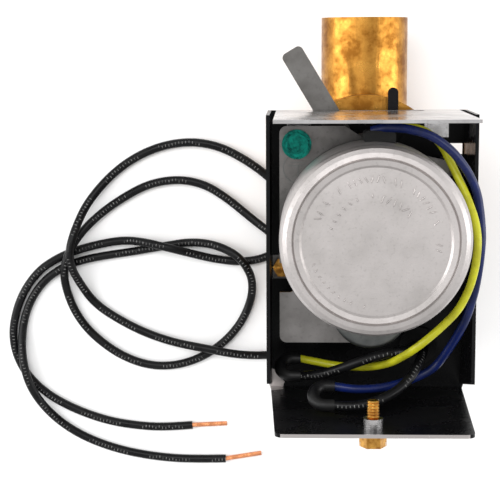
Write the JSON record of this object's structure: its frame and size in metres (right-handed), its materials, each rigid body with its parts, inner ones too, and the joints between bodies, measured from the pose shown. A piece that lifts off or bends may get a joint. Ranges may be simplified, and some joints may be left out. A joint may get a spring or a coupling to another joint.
{
  "type": "zone valve",
  "caption": "Motorised heating zone valve with its cover off: brass sweat body, sheet-steel head, round motor, gears, manual lever and free line leads.",
  "frame": {"origin": "middle of the body's flat underside, on the valve stem's axis", "axes": "+Y along the pipe towards the port beside the manual lever, +Z along the stem towards the head, +X to the right"},
  "size_m": [0.1467, 0.1465, 0.1],
  "materials": {
    "brass_cast": "cast and machined",
    "brass_screw": "turned",
    "black_paint": "gloss",
    "bright_steel": "rolled",
    "dull_steel": "satin",
    "can_aluminium": "cast, satin",
    "zinc_case": "die cast",
    "green_screw": "dyed plating",
    "rubber": "matt",
    "stainless": "turned",
    "black_wire": "glossy insulation",
    "yellow_wire": "glossy insulation",
    "blue_wire": "glossy insulation",
    "shrink_sleeve": "satin",
    "nylon": "moulded",
    "copper": "bare strands",
    "enamel_copper": "enamelled wire",
    "ferrite": "sintered"
  },
  "bodies": {
    "head": {"valve_body": "brass_cast", "bonnet": "brass_cast", "bonnet_o_ring": "rubber", "stem_o_rings": "rubber", "bonnet_screws": "stainless", "stem_bushing": "brass_screw", "base_frame": "black_paint", "end_plate": "bright_steel", "end_plate_rivets": "bright_steel", "head_screws": "bright_steel", "clinch_nut": "bright_steel", "cover_screw": "brass_screw", "wire_grommet": "rubber", "spring_post": "bright_steel", "motor_plate": "dull_steel", "bracket_screws": "brass_screw", "ground_screw": "green_screw", "case_screws": "bright_steel", "gear_case": "zinc_case", "bearing_plate": "dull_steel", "gear_spindles": "stainless", "motor_can": "can_aluminium", "coil_bobbin": "nylon", "coil_winding": "enamel_copper", "pole_plate": "bright_steel", "lead_boot": "rubber", "yellow_lead": "yellow_wire", "blue_lead": "blue_wire", "line_lead_a": "black_wire", "line_lead_b": "black_wire", "splice_sleeve_a": "shrink_sleeve", "splice_sleeve_b": "shrink_sleeve", "conductor_a": "copper", "conductor_b": "copper"},
    "stem": {"valve_stem": "stainless", "crank_arm": "stainless", "ball_pin": "stainless", "ball_plug": "rubber", "sector_gear": "dull_steel", "stem_washer": "bright_steel", "stem_clip": "dull_steel", "return_spring": "bright_steel"},
    "lever": {"manual_lever": "dull_steel"},
    "output": {"output_gear": "bright_steel", "output_pinion": "dull_steel"},
    "second": {"second_gear": "nylon"},
    "first": {"first_gear": "nylon"},
    "rotor": {"rotor": "ferrite", "rotor_shaft": "stainless"}
  },
  "joints": [
    {"name": "stem_turn", "type": "hinge", "parent": "head", "child": "stem", "pos_m": [0, 0, 0], "axis": [0, 0, 1], "range_deg": [-60, 0], "stiffness_Nm_per_rad": 0.05, "springref_deg": 57.3, "deforming": ["return_spring"]},
    {"name": "lever_turn", "type": "hinge", "parent": "head", "child": "lever", "pos_m": [0, 0, 0], "axis": [0, 0, 1], "range_deg": [-62, 0]},
    {"name": "output_turn", "type": "hinge", "parent": "head", "child": "output", "pos_m": [0, -0.0288, 0], "axis": [0, 0, 1], "range_deg": [-1, 301]},
    {"name": "second_turn", "type": "hinge", "parent": "head", "child": "second", "pos_m": [0.008, -0.0228, 0], "axis": [0, 0, 1], "range_deg": [-1201, 1]},
    {"name": "first_turn", "type": "hinge", "parent": "head", "child": "first", "pos_m": [0.00989, -0.01298, 0], "axis": [0, 0, 1], "range_deg": [-1, 4801]},
    {"name": "rotor_turn", "type": "hinge", "parent": "head", "child": "rotor", "pos_m": [0, -0.0115, 0], "axis": [0, 0, 1], "range_deg": [-19201, 1]}
  ],
  "couplings": [
    {"joint": "output_turn", "follows": "stem_turn", "ratio": -5},
    {"joint": "second_turn", "follows": "stem_turn", "ratio": 20},
    {"joint": "first_turn", "follows": "stem_turn", "ratio": -80},
    {"joint": "rotor_turn", "follows": "stem_turn", "ratio": 320}
  ]
}
